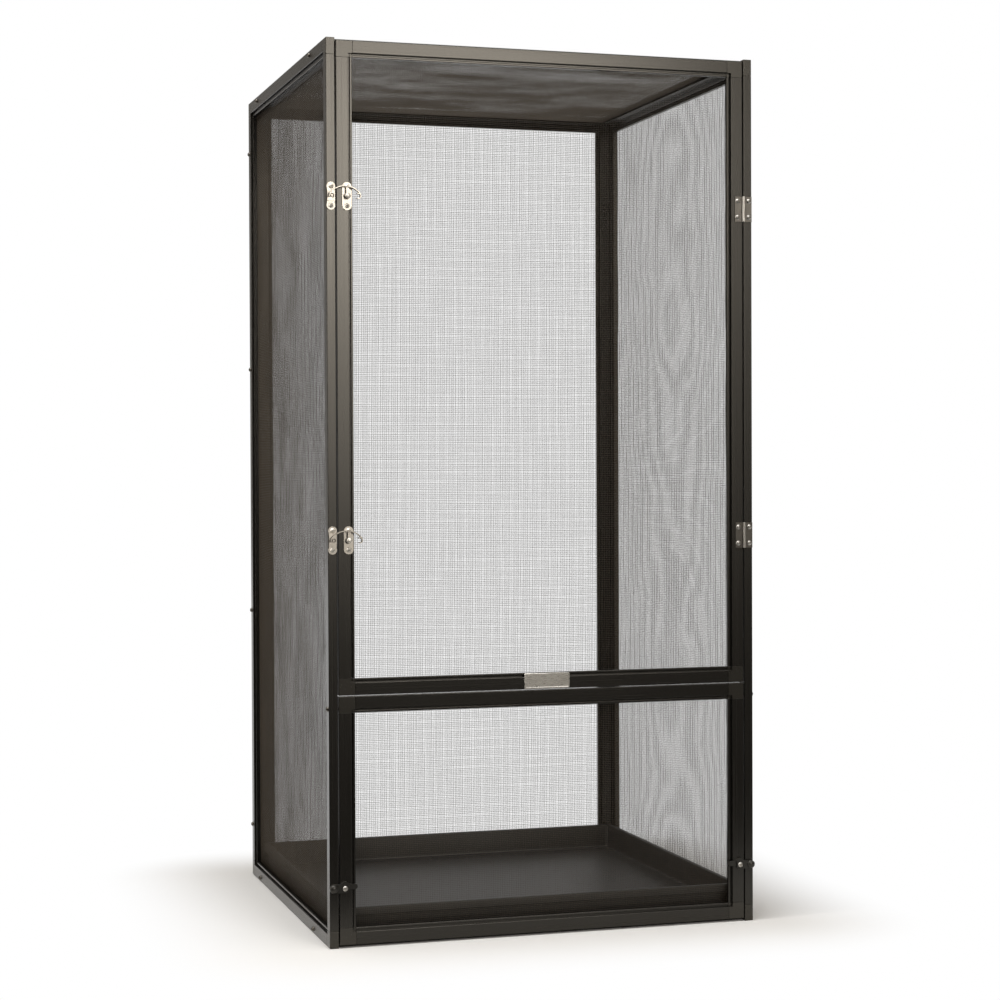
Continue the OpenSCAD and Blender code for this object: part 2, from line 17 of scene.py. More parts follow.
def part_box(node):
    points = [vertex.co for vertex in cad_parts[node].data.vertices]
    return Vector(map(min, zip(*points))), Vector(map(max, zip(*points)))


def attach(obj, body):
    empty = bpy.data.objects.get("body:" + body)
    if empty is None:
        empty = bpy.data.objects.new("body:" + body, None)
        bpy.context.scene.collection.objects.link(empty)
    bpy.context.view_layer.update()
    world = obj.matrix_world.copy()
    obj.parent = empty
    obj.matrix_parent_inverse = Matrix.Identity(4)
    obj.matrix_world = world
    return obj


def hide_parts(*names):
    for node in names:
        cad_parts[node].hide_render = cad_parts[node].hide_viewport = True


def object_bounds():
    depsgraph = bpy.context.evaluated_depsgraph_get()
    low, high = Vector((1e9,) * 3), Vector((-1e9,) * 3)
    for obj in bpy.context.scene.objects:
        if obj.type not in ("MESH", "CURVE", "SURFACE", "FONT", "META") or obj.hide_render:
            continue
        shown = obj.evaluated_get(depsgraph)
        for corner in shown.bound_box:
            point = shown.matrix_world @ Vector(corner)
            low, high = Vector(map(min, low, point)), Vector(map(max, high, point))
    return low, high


MM = 0.001
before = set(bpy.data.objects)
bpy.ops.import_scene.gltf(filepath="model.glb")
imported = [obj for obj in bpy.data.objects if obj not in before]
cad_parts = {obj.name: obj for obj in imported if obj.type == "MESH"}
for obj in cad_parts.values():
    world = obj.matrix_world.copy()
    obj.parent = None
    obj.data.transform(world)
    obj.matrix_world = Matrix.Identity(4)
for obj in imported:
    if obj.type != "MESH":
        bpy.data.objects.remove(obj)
cad_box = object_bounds()
scene = bpy.context.scene
print("CAD box in millimetres:", [round(side / MM, 1) for side in cad_box[1] - cad_box[0]])

# %% [markdown]
# ## The camera
# Everything is judged through the camera, so it comes first. The picture shows the cage a little from the
# left, from about half its height, with a long lens. The cage stands beside the lens axis, as in a picture
# that was trimmed after it was taken, and a small sideways shift of the lens repeats that.

# %% Camera
CAMERA_PLACE = Vector((-0.9132, -3.3138, 0.6384))
CAMERA_YAW = math.radians(18.157)
CAMERA_PITCH = math.radians(-0.882)
CAMERA_ROLL = math.radians(-0.187)
CAMERA_LENS = 83.78
CAMERA_SHIFT = -0.1
SENSOR_W = 36

camera = bpy.data.objects.new("camera", bpy.data.cameras.new("camera"))
scene.collection.objects.link(camera)
camera.data.lens = CAMERA_LENS
camera.data.sensor_width = SENSOR_W
camera.data.shift_x = CAMERA_SHIFT
level_aim = Euler((math.pi / 2 + CAMERA_PITCH, 0, -CAMERA_YAW)).to_matrix()
aim = level_aim @ Matrix.Rotation(CAMERA_ROLL, 3, "Z")
camera.matrix_world = Matrix.Translation(CAMERA_PLACE) @ aim.to_4x4()
bpy.context.scene.camera = camera
middle = (cad_box[0] + cad_box[1]) / 2
print("camera", round((CAMERA_PLACE - middle).length, 2), "m from the middle of the cage")

# %% [markdown]
# ## Three small helpers
# Colours are picked as the screen shows them, in sRGB hex, but a shader works with linear light, so one
# function converts them. Node trees are long to write by hand, so one function adds a node, sets what is
# given and links its inputs. Patterns are thought of in millimetres, and a texture's scale is one over that.

# %% Helpers for colours and nodes
def linear(hex_colour):
    """An sRGB hex colour as linear RGBA."""
    shares = [int(hex_colour[i:i + 2], 16) / 255 for i in (1, 3, 5)]
    return [s / 12.92 if s <= 0.04045 else ((s + 0.055) / 1.055) ** 2.4 for s in shares] + [1.0]


def add(tree, kind, inputs=None, links=None, **settings):
    """Adds a node with its settings, its input values and its links from other nodes' sockets."""
    node = tree.nodes.new(kind)
    for name, value in settings.items():
        setattr(node, name, value)
    for socket, value in (inputs or {}).items():
        node.inputs[socket].default_value = value
    for socket, source in (links or {}).items():
        tree.links.new(source, node.inputs[socket])
    return node


def per_mm(size):
    """Scale of a texture whose features are that many millimetres wide."""
    return 1 / (size * MM)


print("the screen's middle grey is", round(linear("#808080")[0], 3), "in linear light")

# %% [markdown]
# ## The white studio
# A white sweep is the plainest studio, and the camera sees it white all round. Mirrored in the cage it is
# white behind and overhead, and dim around the camera, as a real studio is. That white is only for the eye:
# the light that spreads over the cage comes from a dim, warm world and four soft lamps. Light Path tells
# these rays apart.

# %% Rays that see the backdrop
WHITE = linear("#FFFFFF")
BACKDROP = (math.sin(CAMERA_YAW), math.cos(CAMERA_YAW), 0)


def seen_directly(tree, mirrored=None):
    """Socket that is 1 for camera, mirrored and transmitted rays, and 0 for light that spreads.

    Where a socket is given for the mirrored rays, they count only as much as it says.
    """
    path = add(tree, "ShaderNodeLightPath")
    glossy = path.outputs["Is Glossy Ray"]
    if mirrored:
        part = add(tree, "ShaderNodeMath", links={0: glossy, 1: mirrored}, operation="MULTIPLY")
        glossy = part.outputs[0]
    shiny = add(tree, "ShaderNodeMath", operation="MAXIMUM",
                links={0: glossy, 1: path.outputs["Is Transmission Ray"]})
    either = add(tree, "ShaderNodeMath", operation="MAXIMUM",
                 links={0: path.outputs["Is Camera Ray"], 1: shiny.outputs[0]})
    return either.outputs[0]


print("the backdrop lies towards", [round(part, 2) for part in BACKDROP])

# %% World
FILL_COLOUR = linear("#F4E8D6")
FILL_STRENGTH = 0.22
BACKDROP_INNER = math.radians(20)
BACKDROP_OUTER = math.radians(30)
CEILING_LOW = math.radians(24)
CEILING_HIGH = math.radians(40)

scene.view_settings.view_transform = "Standard"
scene.world = bpy.data.worlds.new("studio")
scene.world.use_nodes = True
air = scene.world.node_tree
air.nodes.clear()
fill = add(air, "ShaderNodeBackground", {"Color": FILL_COLOUR, "Strength": FILL_STRENGTH})
white = add(air, "ShaderNodeBackground", {"Color": WHITE, "Strength": 1.0})
ray = add(air, "ShaderNodeTexCoord").outputs["Generated"]
rise = add(air, "ShaderNodeSeparateXYZ", links={0: ray})
overhead = add(air, "ShaderNodeMapRange", links={"Value": rise.outputs["Z"]}, inputs={
    "From Min": math.sin(CEILING_LOW), "From Max": math.sin(CEILING_HIGH)})
facing = add(air, "ShaderNodeVectorMath", {1: BACKDROP}, {0: ray}, operation="DOT_PRODUCT")
behind = add(air, "ShaderNodeMapRange", links={"Value": facing.outputs["Value"]}, inputs={
    "From Min": math.cos(BACKDROP_OUTER), "From Max": math.cos(BACKDROP_INNER)})
pale = add(air, "ShaderNodeMath", links={0: behind.outputs[0], 1: overhead.outputs[0]}, operation="MAXIMUM")
both = add(air, "ShaderNodeMixShader", links={
    "Fac": seen_directly(air, pale.outputs[0]), 1: fill.outputs[0], 2: white.outputs[0]})
add(air, "ShaderNodeOutputWorld", links={"Surface": both.outputs[0]})
print("world fill", FILL_STRENGTH)

# %% [markdown]
# ### Floor
# The floor is a wide disc of white paper, a hair under the cage. Near the cage it is matt and takes the
# shadow, and further out it fades to the white of the world, so that no horizon shows through the mesh. To
# mirrored and spread light the paper ends a little way in front of the cage, at a dark studio floor:
# otherwise it would brighten the front of the cage from below.

# %% Floor disc
FLOOR_RADIUS = 12
FLOOR_SIDES = 96
FLOOR_DROP = 0.3 * MM

floor_mesh = bpy.data.meshes.new("floor")
disc = bmesh.new()
bmesh.ops.create_circle(disc, cap_ends=True, radius=FLOOR_RADIUS, segments=FLOOR_SIDES)
disc.to_mesh(floor_mesh)
disc.free()
floor_mesh.transform(Matrix.Translation((0, 0, cad_box[0].z - FLOOR_DROP)))
floor = bpy.data.objects.new("floor", floor_mesh)
scene.collection.objects.link(floor)
print("floor", FLOOR_RADIUS, "m in radius,", FLOOR_DROP / MM, "mm under the cage")

# %% Paper on the floor
PAPER_COLOUR = linear("#F6F5F3")
BOARD_COLOUR = linear("#2B2A28")
FADE_END = 0.24
PAPER_EDGE = -0.5
PAPER_END = -0.64


def white_paper():
    """Matt white paper that fades to plain white away from the cage, and ends at dark boards."""
    paper = bpy.data.materials.new("white_paper_sweep")
    paper.use_nodes = True
    tree = paper.node_tree
    tree.nodes.clear()
    spot = add(tree, "ShaderNodeTexCoord").outputs["Object"]
    # The fade goes by the distance from the cage's footprint
    aside = add(tree, "ShaderNodeVectorMath", links={0: spot}, operation="ABSOLUTE")
    beyond = add(tree, "ShaderNodeVectorMath", {1: (cad_box[1].x, cad_box[1].y, FLOOR_RADIUS)},
                 {0: aside.outputs[0]}, operation="SUBTRACT")
    clear = add(tree, "ShaderNodeVectorMath", {1: (0, 0, 0)}, {0: beyond.outputs[0]}, operation="MAXIMUM")
    distance = add(tree, "ShaderNodeVectorMath", links={0: clear.outputs[0]}, operation="LENGTH")
    fade = add(tree, "ShaderNodeMapRange", {"From Max": FADE_END}, {"Value": distance.outputs["Value"]},
               interpolation_type="SMOOTHSTEP")
    faded = add(tree, "ShaderNodeMath", links={0: fade.outputs[0], 1: seen_directly(tree)},
                operation="MULTIPLY")
    matt = add(tree, "ShaderNodeBsdfDiffuse", {"Color": PAPER_COLOUR})
    glow = add(tree, "ShaderNodeEmission", {"Color": WHITE, "Strength": 1.0})
    sweep = add(tree, "ShaderNodeMixShader", links={
        "Fac": faded.outputs[0], 1: matt.outputs[0], 2: glow.outputs[0]})
    # The boards show only to rays that don't come from the camera
    ahead = add(tree, "ShaderNodeVectorMath", {1: BACKDROP}, {0: spot}, operation="DOT_PRODUCT")
    past = add(tree, "ShaderNodeMapRange", {"From Min": PAPER_EDGE, "From Max": PAPER_END},
               {"Value": ahead.outputs["Value"]})
    camera_ray = add(tree, "ShaderNodeLightPath").outputs["Is Camera Ray"]
    unseen = add(tree, "ShaderNodeMath", {0: 1.0}, {1: camera_ray}, operation="SUBTRACT")
    bare = add(tree, "ShaderNodeMath", links={0: past.outputs[0], 1: unseen.outputs[0]},
               operation="MULTIPLY")
    boards = add(tree, "ShaderNodeBsdfDiffuse", {"Color": BOARD_COLOUR})
    ground = add(tree, "ShaderNodeMixShader", links={
        "Fac": bare.outputs[0], 1: sweep.outputs[0], 2: boards.outputs[0]})
    add(tree, "ShaderNodeOutputMaterial", links={"Surface": ground.outputs[0]})
    return paper


floor.data.materials.append(white_paper())
print("the paper is plain white from", FADE_END, "m beyond the cage")

# %% [markdown]
# ### Lamps
# Wide lamps give soft light with no hard shadow. Two stand in front, to the right of the camera, and
# brighten the upper half of the cage more than its foot. One hangs overhead, and a narrow one on the left
# picks out the side panel. The camera doesn't see them, but the bars mirror them.

# %% Lamps
# Place, point it looks at, width and height in metres, power in watts, colour
LAMPS = {
    "front_softbox": ((0.6, -3.5, 1.55), (0.3, -0.3, 1.4), (1.3, 0.8), 26, "#FFFBF6"),
    "front_panel": ((0.6, -3.52, 1.25), (0.3, -0.3, 1.1), (1.3, 1.4), 20, "#FFFBF6"),
    "top_softbox": ((-0.6, -0.7, 3.2), (0, -0.1, 0.6), (2.4, 2.4), 80, "#FFFFFF"),
    "left_softbox": ((-3.0, -0.8, 1.4), (-0.3, -0.3, 0.8), (0.5, 1.8), 26, "#FFFBF6"),
}
for name, (stand, target, size, power, colour) in LAMPS.items():
    light = bpy.data.lights.new(name, "AREA")
    light.color = linear(colour)[:3]
    light.shape = "RECTANGLE"
    light.size, light.size_y = size
    light.energy = power
    lamp = bpy.data.objects.new(name, light)
    scene.collection.objects.link(lamp)
    lamp.location = stand
    lamp.rotation_euler = (Vector(target) - Vector(stand)).to_track_quat("-Z", "Y").to_euler()
    lamp.visible_camera = False
print(len(LAMPS), "soft lamps")

# %% [markdown]
# ## Finishes
# Each finish starts from what the real material is and how its surface was made. Colours are those of the
# bare material: the soft grey on the bars is the studio, not the paint. All patterns read Object
# coordinates, because every piece keeps its place in its mesh, so that the grain doesn't slide when a door
# opens. Every finish has clouds of two close tones, and most have marks or grain that change the gloss and
# the relief.

# %% Parts of a finish
def start(name):
    """A new material: returns it, its tree, its shader and the place on the piece."""
    finish = bpy.data.materials.new(name)
    finish.use_nodes = True
    tree = finish.node_tree
    tree.nodes.clear()
    shader = add(tree, "ShaderNodeBsdfPrincipled")
    add(tree, "ShaderNodeOutputMaterial", links={"Surface": shader.outputs[0]})
    spot = add(tree, "ShaderNodeTexCoord").outputs["Object"]
    return finish, tree, shader, spot


def tint(tree, shader, spot, dark, light, size):
    """Colours the shader between two hex colours, in clouds of a size in millimetres."""
    clouds = add(tree, "ShaderNodeTexNoise", {"Scale": per_mm(size), "Detail": 3.0}, {"Vector": spot})
    mix = add(tree, "ShaderNodeMix", {"A": linear(dark), "B": linear(light)}, data_type="RGBA",
              links={"Factor": clouds.outputs["Fac"]})
    tree.links.new(mix.outputs["Result"], shader.inputs["Base Color"])


def marks_along(tree, spot, axis, width, length):
    """Pattern of marks along an axis, with a width and a length in millimetres."""
    stretch = [per_mm(width)] * 3
    stretch[axis] = per_mm(length)
    along = add(tree, "ShaderNodeMapping", {"Scale": stretch}, {"Vector": spot})
    marks = add(tree, "ShaderNodeTexNoise", {"Scale": 1.0, "Detail": 2.0}, {"Vector": along.outputs[0]})
    return marks.outputs["Fac"]


def surface(tree, shader, gloss, roughness, relief, strength, depth):
    """Roughness between two values as one pattern says, and a relief in millimetres as another does."""
    low, high = roughness
    sheen = add(tree, "ShaderNodeMapRange", {"To Min": low, "To Max": high}, {"Value": gloss})
    tree.links.new(sheen.outputs[0], shader.inputs["Roughness"])
    bump = add(tree, "ShaderNodeBump", {"Strength": strength, "Distance": depth * MM}, {"Height": relief})
    tree.links.new(bump.outputs[0], shader.inputs["Normal"])


print("clouds of 60 mm have a texture scale of", round(per_mm(60), 1))

# %% [markdown]
# ### Painted bars
# The bars are extruded aluminium with a satin black polyester coat. Paint of this kind is a deep, slightly
# warm black that mirrors a soft, wide patch of light, with a slight orange peel. Under it the extrusion die
# leaves faint lines along the bar. Those lines are about half a millimetre wide, drawn here twice as wide so
# that they show at all.

# %% Painted bars
SHEEN_TINT = linear("#FFF8EB")
PAINT_CLOUDS = 60
PAINT_ROUGHNESS = (0.22, 0.3)
LINE_W = 1.0
LINE_LENGTH = 240
PEEL_SIZE = 1.4
PEEL_STRENGTH = 0.12
PEEL_DEPTH = 0.05


def painted_bar(axis):
    """Satin black coat on a bar that runs along an axis, 0 for x, 1 for y or 2 for z."""
    finish, tree, shader, spot = start("satin_black_paint_" + "xyz"[axis])
    tint(tree, shader, spot, "#0C0B0A", "#12110F", PAINT_CLOUDS)
    shader.inputs["Specular Tint"].default_value = SHEEN_TINT
    lines = marks_along(tree, spot, axis, LINE_W, LINE_LENGTH)
    peel = add(tree, "ShaderNodeTexNoise", {"Scale": per_mm(PEEL_SIZE), "Detail": 2.0}, {"Vector": spot})
    surface(tree, shader, lines, PAINT_ROUGHNESS, peel.outputs["Fac"], PEEL_STRENGTH, PEEL_DEPTH)
    return finish


BAR_PAINT = [painted_bar(axis) for axis in range(3)]
print("bar paints:", [finish.name for finish in BAR_PAINT])

# %% [markdown]
# ### Moulded plastics and rubber
# The corner pieces are glass-filled nylon, a touch lighter than the paint and about as glossy. The turn
# clips are a blacker and duller nylon, the tray is polypropylene, and the spline is a soft rubber cord that
# hardly shines. All have a fine grain. One recipe serves all four, because only numbers differ.

# %% Moulded plastics and rubber
MOULD_CLOUDS = 35
GLOSS_SPREAD = 0.01
GRAIN_STRENGTH = 0.3


def moulded(name, dark, light, roughness, grain, depth, specular):
    """Moulded finish: two hex colours, roughness, grain size and depth in millimetres, specular level."""
    finish, tree, shader, spot = start(name)
    tint(tree, shader, spot, dark, light, MOULD_CLOUDS)
    shader.inputs["Specular IOR Level"].default_value = specular
    shader.inputs["Specular Tint"].default_value = SHEEN_TINT
    noise = add(tree, "ShaderNodeTexNoise", {"Scale": per_mm(grain), "Detail": 3.0}, {"Vector": spot})
    texture = noise.outputs["Fac"]
    between = (roughness - GLOSS_SPREAD, roughness + GLOSS_SPREAD)
    surface(tree, shader, texture, between, texture, GRAIN_STRENGTH, depth)
    return finish


# Two colours, roughness, grain size and depth in millimetres, specular level
CORNER_NYLON = moulded("glass_filled_nylon", "#1D1C19", "#25231F", 0.27, 1.6, 0.006, 0.5)
CLIP_NYLON = moulded("black_nylon", "#0C0C0B", "#121211", 0.34, 1.2, 0.02, 0.5)
TRAY_PLASTIC = moulded("black_polypropylene", "#141414", "#1B1B1C", 0.48, 1.1, 0.05, 0.4)
SPLINE_RUBBER = moulded("soft_rubber", "#0F0F0E", "#151514", 0.75, 0.9, 0.05, 0.3)
print("plastics:", [f.name for f in (CORNER_NYLON, CLIP_NYLON, TRAY_PLASTIC, SPLINE_RUBBER)])

# %% [markdown]
# ### Metals
# The latches are pressed steel with a satin nickel plate. Their studs and screw heads are drawn in a paler
# copy of that nickel that spreads the light, a painted highlight on the rounded parts. The hinge leaves are
# plated with grey zinc, and their pins and screws are brighter steel. The barrels of the leaves are drawn in
# that steel too: a brighter metal, and partly a painted highlight along the rounded barrel. The crosses
# punched into the small screws are painted darker, as painted shade in the recess. The screws through the
# frame are blackened zinc, and the plate is satin metal. All were tumbled or brushed, which leaves fine marks.
# A metal
# keeps the default IOR: its colour is its reflection.

# %% Metals
METAL_CLOUDS = 12
MARK_STRETCH = 20
MARK_GLOSS = (0.75, 1.25)
MARK_STRENGTH = 0.15
MARK_DEPTH = 0.02


def plated(name, dark, light, roughness, brush, axis=2):
    """Plated metal with clouds of two colours and brush marks of a width in millimetres along an axis."""
    finish, tree, shader, spot = start(name)
    tint(tree, shader, spot, dark, light, METAL_CLOUDS)
    shader.inputs["Metallic"].default_value = 1.0
    marks = marks_along(tree, spot, axis, brush, brush * MARK_STRETCH)
    between = [roughness * share for share in MARK_GLOSS]
    surface(tree, shader, marks, between, marks, MARK_STRENGTH, MARK_DEPTH)
    return finish


# Two colours, roughness, width of the marks in millimetres
NICKEL = plated("satin_nickel", "#958F86", "#A59F95", 0.36, 0.8)
# Painted highlight: a paler copy of the nickel for the latch studs and the latch screws' heads
NICKEL_PAINTED_BRIGHT = plated("nickel_painted_bright", "#E2DCD1", "#EEE8DD", 0.56, 0.8)
ZINC = plated("grey_zinc", "#4E4B46", "#5E5A54", 0.36, 0.5)
BLACK_ZINC = plated("black_zinc", "#55514B", "#66615A", 0.2, 0.6)
STEEL = plated("bright_steel", "#A09C95", "#B2AEA7", 0.32, 0.5)
# Painted shade: a darker metal for the crosses of the small screws, where shade falls in the recess
CROSS_SHADE = plated("painted_shade_recess", "#847F76", "#928D83", 0.6, 0.5)
SATIN_PLATE = plated("satin_plate", "#BDB9B1", "#CFCBC3", 0.28, 0.5, axis=0)
print("metals:", [f.name for f in (NICKEL, NICKEL_PAINTED_BRIGHT, ZINC, BLACK_ZINC, STEEL, CROSS_SHADE, SATIN_PLATE)])

# %% [markdown]
# ### Wire
# The cloth is woven from aluminium wire with a dull black epoxy coat. Fine mesh against white looks like
# a warm dark grey, lighter than the paint on the bars, so the coat is drawn in that tone.

# %% Wire finish
WIRE_CLOUDS = 90
WIRE_ROUGHNESS = 0.5
WIRE_SPECULAR = 0.3


def coated_wire():
    """Dull epoxy on thin wire, with a slow change of tone along the panel."""
    finish, tree, shader, spot = start("black_coated_wire")
    tint(tree, shader, spot, "#362F25", "#443B2F", WIRE_CLOUDS)
    shader.inputs["Roughness"].default_value = WIRE_ROUGHNESS
    shader.inputs["Specular IOR Level"].default_value = WIRE_SPECULAR
    return finish


WIRE = coated_wire()
print("wire:", WIRE.name)

# %% [markdown]
# ## Pieces that are right as packed
# The screws through the frame, the pivot screws of the lower door, the hinge pins and the splines have their
# shape already, so they stay in the scene and only need their finish.

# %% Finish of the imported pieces
PANELS = ["left_panel", "right_panel", "back_panel", "top_panel", "bottom_panel",
          "upper_door", "lower_door"]
FINISHES = {
    "left_frame_screws": BLACK_ZINC,
    "right_frame_screws": BLACK_ZINC,
    "door_pivot_screws": BLACK_ZINC,
    "hinge_pins": STEEL,
}
for panel in PANELS:
    FINISHES[panel + "_spline"] = SPLINE_RUBBER
for name, finish in FINISHES.items():
    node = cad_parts[name]
    node.data.materials.clear()
    node.data.materials.append(finish)
print(len(FINISHES), "packed pieces have a finish")

# %% [markdown]
# ## The wire cloth
# A coarse grid can't look like mesh: the gaps have to be as fine as the real ones, so that two panels behind
# each other make the fine moving pattern that mesh has. Wires woven over and under each other would cost
# millions of faces and show in no picture. What does show is the depth of the weave, which closes the cloth
# when it is seen at a flat angle, so each strand is an oval, deeper than it is wide. One Geometry Nodes tree
# draws a panel of strands from its width, height, pitch and strand, ripples it and turns it into place.

# %% Strands of the wire cloth
WIRE_PITCH = 2.5 * MM
WIRE_W = 0.28 * MM
WIRE_DEPTH = 0.42 * MM
WIRE_SIDES = 6
SEGMENT = 34 * MM


def strands(tree, given, across, along, step, tilt):
    """One set of parallel wires, side by side in steps along an axis, as a real mesh."""
    spaces = add(tree, "ShaderNodeMath", links={0: given[across], 1: given["Pitch"]}, operation="DIVIDE")
    count = add(tree, "ShaderNodeMath", links={0: spaces.outputs[0]}, operation="FLOOR")
    reach = add(tree, "ShaderNodeMath", {1: 1.0}, {0: count.outputs[0]}, operation="SUBTRACT")
    span = add(tree, "ShaderNodeMath", links={0: reach.outputs[0], 1: given["Pitch"]}, operation="MULTIPLY")
    first = add(tree, "ShaderNodeMath", {1: -0.5}, {0: span.outputs[0]}, operation="MULTIPLY")
    edge = add(tree, "ShaderNodeCombineXYZ", links={step: first.outputs[0]})
    # The wires lie half their depth behind the outer face
    inset = add(tree, "ShaderNodeVectorMath", {1: (0, 1, 0)}, {0: given["Strand"]}, operation="MULTIPLY")
    begin = add(tree, "ShaderNodeVectorMath", links={0: edge.outputs[0], 1: inset.outputs[0]},
                operation="ADD")
    offset = add(tree, "ShaderNodeCombineXYZ", links={step: given["Pitch"]})
    row = add(tree, "GeometryNodeMeshLine", links={
        "Count": count.outputs[0], "Start Location": begin.outputs[0], "Offset": offset.outputs[0]})
    pieces = add(tree, "ShaderNodeMath", {1: SEGMENT}, {0: given[along]}, operation="DIVIDE")
    rod = add(tree, "GeometryNodeMeshCylinder", {"Vertices": WIRE_SIDES, "Radius": 1.0},
              {"Depth": given[along], "Side Segments": pieces.outputs[0]})
    wire = add(tree, "GeometryNodeTransform", links={
        "Geometry": rod.outputs["Mesh"], "Scale": given["Strand"]})
    wires = add(tree, "GeometryNodeInstanceOnPoints", {"Rotation": tilt},
                {"Points": row.outputs["Mesh"], "Instance": wire.outputs[0]})
    # Only a real mesh can be bent point by point
    return add(tree, "GeometryNodeRealizeInstances", links={"Geometry": wires.outputs[0]}).outputs[0]


print("wires of", WIRE_W / MM, "by", WIRE_DEPTH / MM, "mm,", WIRE_PITCH / MM, "mm apart")

# %% [markdown]
# Cloth that is ruled like graph paper looks false. No loom keeps its pitch, so each strand wanders a little
# on its own. Stretched in its groove, the cloth also ripples slowly, and its middle is turned a little out
# of square. Ripple and turn die away towards the frame, which holds the edges.

# %% Wander, ripple and turn
STRAY = {"X": 0.5 * MM, "Z": 0.2 * MM}
STRAY_LENGTH = 70
RIPPLE_SIZE = 130
EDGE_HOLD = 60 * MM


def wandering(tree, wires, own, step):
    """The wires, each moved along the steps' axis by a noise that is its own."""
    grain = [per_mm(STRAY_LENGTH)] * 3
    grain["XYZ".index(step)] = 1 / WIRE_PITCH
    own_way = add(tree, "ShaderNodeVectorMath", {1: grain}, {0: own}, operation="MULTIPLY")
    wander = add(tree, "ShaderNodeTexNoise", {"Scale": 1.0, "Detail": 0.0}, {"Vector": own_way.outputs[0]})
    stray = add(tree, "ShaderNodeMapRange", {"To Min": -STRAY[step] / 2, "To Max": STRAY[step] / 2},
                {"Value": wander.outputs["Fac"]})
    aside = add(tree, "ShaderNodeCombineXYZ", links={step: stray.outputs[0]})
    moved = add(tree, "GeometryNodeSetPosition", links={"Geometry": wires, "Offset": aside.outputs[0]})
    return moved.outputs[0]


def slack(tree, given, spot, own):
    """How far each point of the cloth moves by the ripple and the turn."""
    noise = add(tree, "ShaderNodeTexNoise", {"Scale": per_mm(RIPPLE_SIZE), "Detail": 1.0}, {"Vector": own})
    swing = add(tree, "ShaderNodeVectorMath", {1: (0.5, 0.5, 0.5)}, {0: noise.outputs["Color"]},
                operation="SUBTRACT")
    ripple = add(tree, "ShaderNodeVectorMath", links={0: swing.outputs[0], "Scale": given["Ripple"]},
                 operation="SCALE")
    aslant = add(tree, "ShaderNodeVectorMath", {1: (0, 1, 0)}, {0: spot}, operation="CROSS_PRODUCT")
    turn = add(tree, "ShaderNodeVectorMath", links={0: aslant.outputs[0], "Scale": given["Skew"]},
               operation="SCALE")
    sides = add(tree, "ShaderNodeSeparateXYZ", links={0: spot})
    for axis, across in (("X", "Width"), ("Z", "Height")):
        away = add(tree, "ShaderNodeMath", links={0: sides.outputs[axis]}, operation="ABSOLUTE")
        edge = add(tree, "ShaderNodeMath", {1: 0.5}, {0: given[across]}, operation="MULTIPLY")
        loose = add(tree, "ShaderNodeMath", {1: EDGE_HOLD}, {0: edge.outputs[0]}, operation="SUBTRACT")
        free = add(tree, "ShaderNodeMapRange", links={
            "Value": away.outputs[0], "From Min": edge.outputs[0], "From Max": loose.outputs[0]})
        ripple = add(tree, "ShaderNodeVectorMath", links={0: ripple.outputs[0], "Scale": free.outputs[0]},
                     operation="SCALE")
        share = add(tree, "ShaderNodeMath", links={0: away.outputs[0], 1: edge.outputs[0]},
                    operation="DIVIDE")
        square = add(tree, "ShaderNodeMath", links={0: share.outputs[0], 1: share.outputs[0]},
                     operation="MULTIPLY")
        inward = add(tree, "ShaderNodeMath", {0: 1.0}, {1: square.outputs[0]}, operation="SUBTRACT")
        turn = add(tree, "ShaderNodeVectorMath", links={0: turn.outputs[0], "Scale": inward.outputs[0]},
                   operation="SCALE")
    moved = add(tree, "ShaderNodeVectorMath", links={0: ripple.outputs[0], 1: turn.outputs[0]},
                operation="ADD")
    return moved.outputs[0]


print("strands stray by up to", [stray / 2 / MM for stray in STRAY.values()], "mm to either side")

# %% [markdown]
# Now the tree. It has an input for each size, so that one tree serves all seven panels. Where a panel stands
# goes into its noise too, so no two panels ripple alike.

# %% Tree of the wire cloth
CLOTH_SOCKETS = {"Width": "Float", "Height": "Float", "Pitch": "Float", "Strand": "Vector", "Skew": "Float",
                 "Ripple": "Float", "Centre": "Vector", "Turn": "Vector", "Finish": "Material"}
UPRIGHT = (0, 0, 0)
LEVEL = (0, math.pi / 2, 0)


def wire_cloth_tree():
    """Geometry Nodes tree of one panel of wires; returns it and its inputs' identifiers by name."""
    tree = bpy.data.node_groups.new("wire_cloth", "GeometryNodeTree")
    identifiers = {}
    for name, kind in CLOTH_SOCKETS.items():
        socket = tree.interface.new_socket(name, in_out="INPUT", socket_type="NodeSocket" + kind)
        identifiers[name] = socket.identifier
    tree.interface.new_socket("Geometry", in_out="OUTPUT", socket_type="NodeSocketGeometry")
    given = add(tree, "NodeGroupInput").outputs
    spot = add(tree, "GeometryNodeInputPosition").outputs[0]
    own = add(tree, "ShaderNodeVectorMath", links={0: spot, 1: given["Centre"]}, operation="ADD").outputs[0]
    joined = add(tree, "GeometryNodeJoinGeometry")
    # The upright strands stand side by side along x, and the level ones above each other along z
    for across, along, step, tilt in (("Width", "Height", "X", UPRIGHT), ("Height", "Width", "Z", LEVEL)):
        wires = strands(tree, given, across, along, step, tilt)
        tree.links.new(wandering(tree, wires, own, step), joined.inputs[0])
    slackened = add(tree, "GeometryNodeSetPosition", links={
        "Geometry": joined.outputs[0], "Offset": slack(tree, given, spot, own)})
    placed = add(tree, "GeometryNodeTransform", links={
        "Geometry": slackened.outputs[0], "Translation": given["Centre"], "Rotation": given["Turn"]})
    smooth = add(tree, "GeometryNodeSetShadeSmooth", links={"Geometry": placed.outputs[0]})
    # An export drops instances, so the tree makes sure that none are left
    real = add(tree, "GeometryNodeRealizeInstances", links={"Geometry": smooth.outputs[0]})
    painted = add(tree, "GeometryNodeSetMaterial", links={
        "Geometry": real.outputs[0], "Material": given["Finish"]})
    add(tree, "NodeGroupOutput", links={"Geometry": painted.outputs[0]})
    return tree, identifiers


